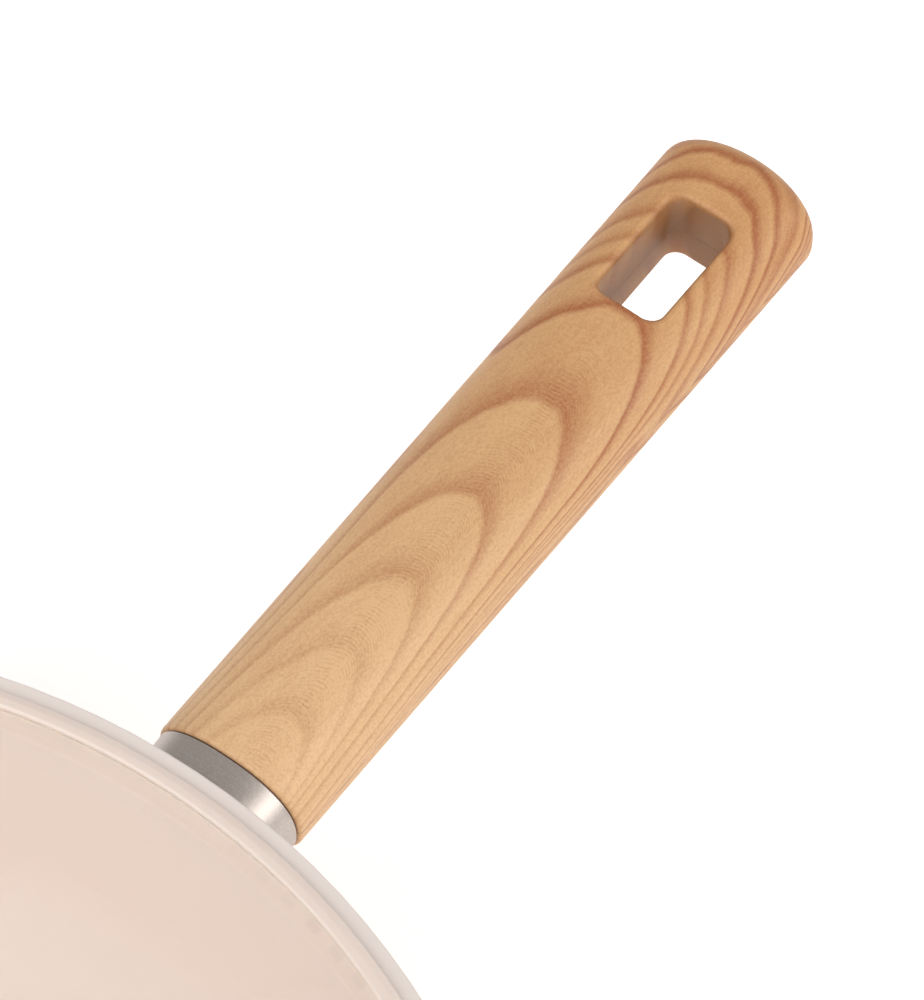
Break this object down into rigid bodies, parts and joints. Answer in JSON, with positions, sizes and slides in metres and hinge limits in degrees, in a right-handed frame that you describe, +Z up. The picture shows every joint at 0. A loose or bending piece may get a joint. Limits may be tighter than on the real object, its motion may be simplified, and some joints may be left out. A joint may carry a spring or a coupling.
{
  "type": "saucepan with glass lid",
  "caption": "Wide non-stick saucepan with a long wood-effect handle, steel ferrule, hanging slot and a lift-off domed glass lid with silicone edge, vent and knob.",
  "frame": {"origin": "centre of the pan's underside, on the surface it stands on", "axes": "+Z up through the lid's knob, +X from the pan's centre along the long handle, -X towards the lid's steam vent"},
  "size_m": [0.4439, 0.28, 0.1465],
  "materials": {
    "cream_ceramic_coating": "forged aluminium under a smooth, semi-matt cream ceramic coating",
    "induction_steel": "circular-brushed stainless plate",
    "bracket_steel": "plain stainless steel",
    "ferrule_steel": "satin stainless steel, brushed round the piece",
    "dark_gasket": "dark brown heat-resistant rubber",
    "wood_effect_grip": "moulded resin with a printed pale ash grain, soft matt lacquer",
    "fastener_steel": "bright zinc-plated steel",
    "polished_steel": "polished stainless steel",
    "lid_glass": "clear tempered glass",
    "cream_silicone": "matt cream silicone",
    "clear_silicone": "translucent silicone",
    "insert_brass": "plain brass"
  },
  "bodies": {
    "pan": {"pan_body": "cream_ceramic_coating", "base_plate": "induction_steel", "handle_bracket": "bracket_steel", "handle_ferrule": "ferrule_steel", "handle_gasket": "dark_gasket", "handle_grip": "wood_effect_grip", "handle_flat_washers": "fastener_steel", "handle_spring_washers": "fastener_steel", "handle_screws": "fastener_steel"},
    "lid": {"lid_glass": "lid_glass", "lid_ring": "cream_silicone", "vent_eyelet": "polished_steel", "vent_washer": "polished_steel", "knob_gasket_top": "clear_silicone", "knob_gasket_bottom": "clear_silicone", "knob_washer": "fastener_steel", "knob_base": "ferrule_steel", "knob_grip": "wood_effect_grip", "knob_insert": "insert_brass", "knob_screw": "fastener_steel"}
  },
  "joints": [
    {"name": "lid_lift", "type": "slide", "parent": "pan", "child": "lid", "axis": [0, 0, 1], "range_m": [0, 0.15]}
  ]
}
